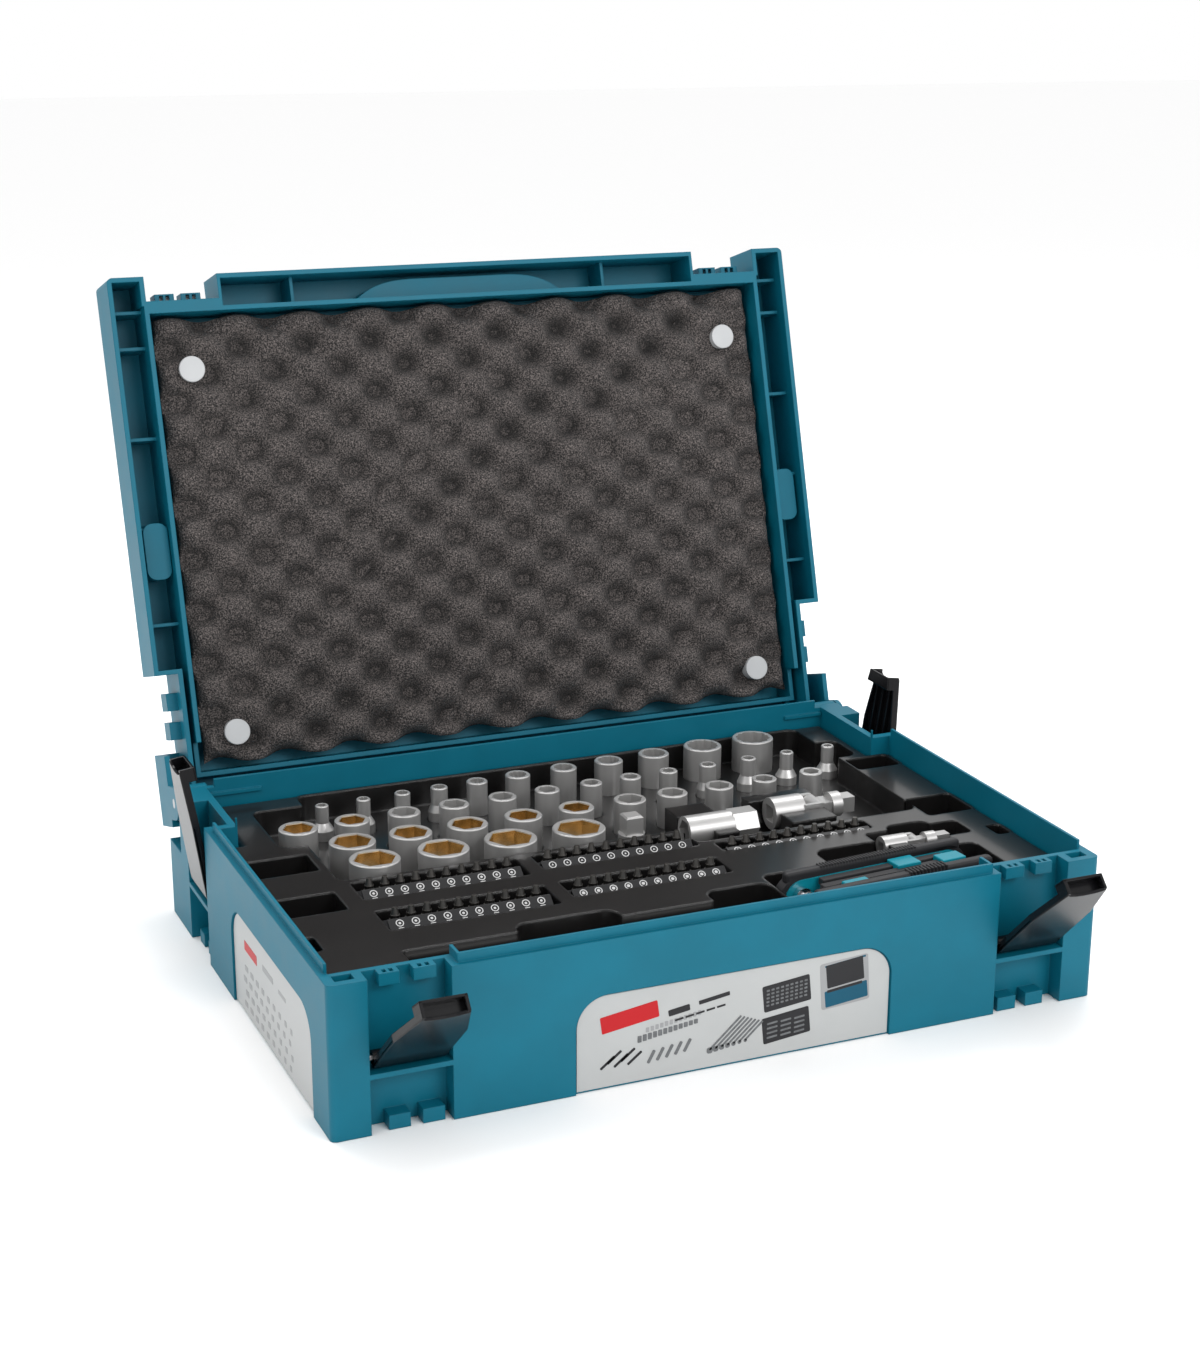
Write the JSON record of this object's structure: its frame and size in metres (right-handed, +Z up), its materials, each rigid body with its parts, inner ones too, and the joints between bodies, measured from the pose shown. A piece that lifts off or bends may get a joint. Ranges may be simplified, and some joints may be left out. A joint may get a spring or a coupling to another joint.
{
  "type": "socket wrench set in case",
  "caption": "Stackable hinged plastic tool case with a foam-lined lid and two lift-out trays of sockets, bits, keys and spanners",
  "frame": {"origin": "middle of the flat underside of the case", "axes": "+X to the right along the front, +Y to the back hinge, +Z up"},
  "size_m": [0.4138, 0.4389, 0.3281],
  "materials": {
    "teal_plastic": "moulded plastic, fine texture",
    "dark_steel": "plain steel pin",
    "label": "printed sticker",
    "foam": "open-cell foam",
    "white_plastic": "moulded",
    "gloss_black": "polished",
    "tray_black": "satin formed sheet",
    "rack_black": "printed face",
    "satin_chrome": "satin chrome",
    "bit_steel": "dark steel",
    "grip_black": "grip",
    "teal_insert": "moulded",
    "key_steel": "bright"
  },
  "bodies": {
    "base": {"case_base": "teal_plastic", "hinge_pins": "dark_steel", "latch_pins": "dark_steel", "front_label": "label", "left_side_label": "label", "right_side_label": "label"},
    "lid": {"lid_shell": "teal_plastic", "foam_pad": "foam", "foam_plugs": "white_plastic", "handle_pins": "dark_steel"},
    "handle": {"carry_handle": "gloss_black"},
    "lower_tray_set": {"lower_tray": "tray_black", "combination_spanners": "satin_chrome", "large_ratchet": "satin_chrome", "small_ratchet": "satin_chrome", "driver_handle": "grip_black", "lower_extensions": "satin_chrome"},
    "upper_tray_set": {"upper_tray": "tray_black", "bit_racks": "rack_black", "star_sockets": "satin_chrome", "small_sockets": "satin_chrome", "middle_sockets": "satin_chrome", "large_sockets": "satin_chrome", "drive_adapter": "satin_chrome", "spark_plug_socket": "satin_chrome", "star_bits": "bit_steel", "hex_bits": "bit_steel", "tamper_bits": "bit_steel", "cross_bits": "bit_steel", "slot_bits": "bit_steel", "spare_bits": "bit_steel", "extension_bar": "satin_chrome", "sliding_handle": "satin_chrome", "bit_holder": "satin_chrome", "three_way_adapter": "satin_chrome", "large_joint_fork": "satin_chrome", "large_joint_pin": "satin_chrome", "small_joint_fork": "satin_chrome", "small_joint_pin": "satin_chrome", "front_grip": "grip_black", "back_grip": "grip_black", "key_spine": "teal_insert", "key_screws": "dark_steel"},
    "large_lever": {"large_ratchet_lever": "bit_steel"},
    "small_lever": {"small_ratchet_lever": "bit_steel"},
    "large_drive": {"large_joint_drive": "satin_chrome"},
    "small_drive": {"small_joint_drive": "satin_chrome"},
    "front_left_lever": {"front_left_latch": "gloss_black"},
    "back_left_lever": {"back_left_latch": "gloss_black"},
    "front_right_lever": {"front_right_latch": "gloss_black"},
    "back_right_lever": {"back_right_latch": "gloss_black"},
    "key_right_1": {"hex_key_right_1": "key_steel"},
    "key_right_2": {"hex_key_right_2": "key_steel"},
    "key_right_3": {"hex_key_right_3": "key_steel"},
    "key_left_1": {"hex_key_left_1": "key_steel"},
    "key_left_2": {"hex_key_left_2": "key_steel"},
    "key_left_3": {"hex_key_left_3": "key_steel"}
  },
  "joints": [
    {"name": "lid_hinge", "type": "hinge", "parent": "base", "child": "lid", "pos_m": [0, 0.13, 0.066], "axis": [-1, 0, 0], "range_deg": [-107, 0]},
    {"name": "handle_hinge", "type": "hinge", "parent": "lid", "child": "handle", "pos_m": [0, 0.20289, 0.19429], "axis": [1, 0, 0], "range_deg": [0, 95]},
    {"name": "front_left_latch_hinge", "type": "hinge", "parent": "base", "child": "front_left_lever", "pos_m": [-0.16025, -0.138, 0.0355], "axis": [1, 0, 0], "range_deg": [-49, 46]},
    {"name": "back_left_latch_hinge", "type": "hinge", "parent": "base", "child": "back_left_lever", "pos_m": [-0.193, 0.085, 0.0375], "axis": [0, -1, 0], "range_deg": [-8, 87]},
    {"name": "front_right_latch_hinge", "type": "hinge", "parent": "base", "child": "front_right_lever", "pos_m": [0.16025, -0.138, 0.0355], "axis": [1, 0, 0], "range_deg": [-45, 50]},
    {"name": "back_right_latch_hinge", "type": "hinge", "parent": "base", "child": "back_right_lever", "pos_m": [0.193, 0.085, 0.0375], "axis": [0, 1, 0], "range_deg": [-8, 87]},
    {"name": "lower_tray_lift", "type": "slide", "parent": "base", "child": "lower_tray_set", "axis": [0, 0, 1], "range_m": [0, 0.1]},
    {"name": "upper_tray_lift", "type": "slide", "parent": "lower_tray_set", "child": "upper_tray_set", "axis": [0, 0, 1], "range_m": [0, 0.1]},
    {"name": "large_ratchet_switch", "type": "hinge", "parent": "lower_tray_set", "child": "large_lever", "pos_m": [0.15, 0.024, 0.0175], "axis": [0, 0, 1], "range_deg": [-15, 15]},
    {"name": "small_ratchet_switch", "type": "hinge", "parent": "lower_tray_set", "child": "small_lever", "pos_m": [0.15, 0.088, 0.0145], "axis": [0, 0, 1], "range_deg": [-15, 15]},
    {"name": "large_joint_bend", "type": "hinge", "parent": "upper_tray_set", "child": "large_drive", "pos_m": [0.118, 0.008, 0.061], "axis": [0, -1, 0], "range_deg": [0, 35]},
    {"name": "small_joint_bend", "type": "hinge", "parent": "upper_tray_set", "child": "small_drive", "pos_m": [0.143, -0.056, 0.06], "axis": [0, -1, 0], "range_deg": [0, 35]},
    {"name": "key_right_1_fold", "type": "hinge", "parent": "upper_tray_set", "child": "key_right_1", "pos_m": [0.14483, -0.09917, 0.059], "axis": [-0.0872, 0.9962, 0], "range_deg": [0, 120]},
    {"name": "key_right_2_fold", "type": "hinge", "parent": "upper_tray_set", "child": "key_right_2", "pos_m": [0.14483, -0.09917, 0.059], "axis": [-0.0872, 0.9962, 0], "range_deg": [0, 120]},
    {"name": "key_right_3_fold", "type": "hinge", "parent": "upper_tray_set", "child": "key_right_3", "pos_m": [0.14483, -0.09917, 0.059], "axis": [-0.0872, 0.9962, 0], "range_deg": [0, 120]},
    {"name": "key_left_1_fold", "type": "hinge", "parent": "upper_tray_set", "child": "key_left_1", "pos_m": [0.05717, -0.10683, 0.059], "axis": [0.0872, -0.9962, 0], "range_deg": [0, 120]},
    {"name": "key_left_2_fold", "type": "hinge", "parent": "upper_tray_set", "child": "key_left_2", "pos_m": [0.05717, -0.10683, 0.059], "axis": [0.0872, -0.9962, 0], "range_deg": [0, 120]},
    {"name": "key_left_3_fold", "type": "hinge", "parent": "upper_tray_set", "child": "key_left_3", "pos_m": [0.05717, -0.10683, 0.059], "axis": [0.0872, -0.9962, 0], "range_deg": [0, 120]}
  ]
}
